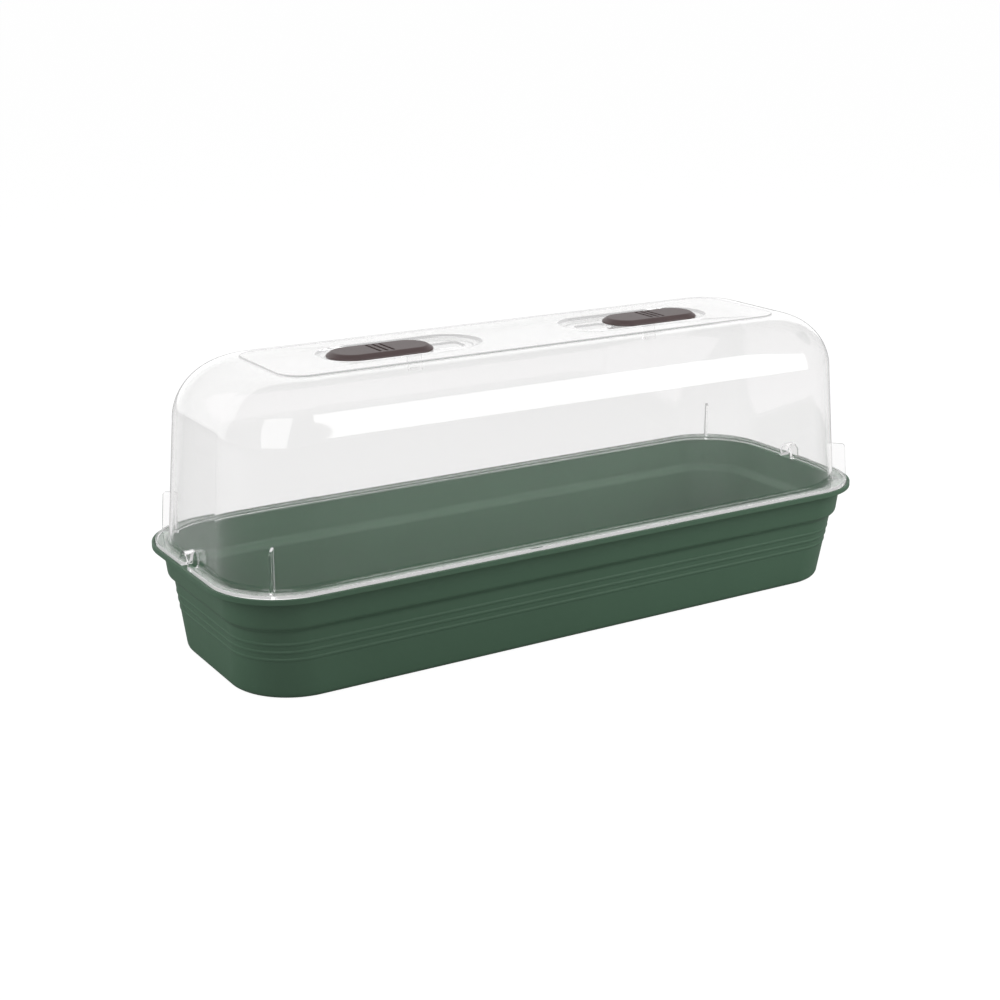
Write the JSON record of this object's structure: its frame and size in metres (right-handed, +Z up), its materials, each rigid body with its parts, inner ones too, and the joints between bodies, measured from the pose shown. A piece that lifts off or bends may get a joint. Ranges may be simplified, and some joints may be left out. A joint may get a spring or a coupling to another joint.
{
  "type": "humidity dome tray",
  "caption": "Long green seed tray under a clear lift-off dome with sliding roof vents, for raising seedlings and herbs in humid air.",
  "frame": {"origin": "on the surface the tray stands on, under the middle of the tray", "axes": "+X along the tray's length, +Y across it and away from the side with the flange's finger notch, +Z up"},
  "size_m": [0.48, 0.1756, 0.1879],
  "materials": {
    "tray_green": "satin moulded polypropylene",
    "clear_plastic": "clear, polished",
    "vent_brown": "fine matt moulded plastic"
  },
  "bodies": {
    "tray": {"tray": "tray_green"},
    "dome": {"dome": "clear_plastic"},
    "left_vent": {"left_vent_slider": "vent_brown"},
    "right_vent": {"right_vent_slider": "vent_brown"}
  },
  "joints": [
    {"name": "dome_lift", "type": "slide", "parent": "tray", "child": "dome", "axis": [0, 0, 1], "range_m": [0, 0.25]},
    {"name": "left_vent_slide", "type": "slide", "parent": "dome", "child": "left_vent", "axis": [1, 0, 0], "range_m": [0, 0.028]},
    {"name": "right_vent_slide", "type": "slide", "parent": "dome", "child": "right_vent", "axis": [-1, 0, 0], "range_m": [0, 0.028]}
  ]
}
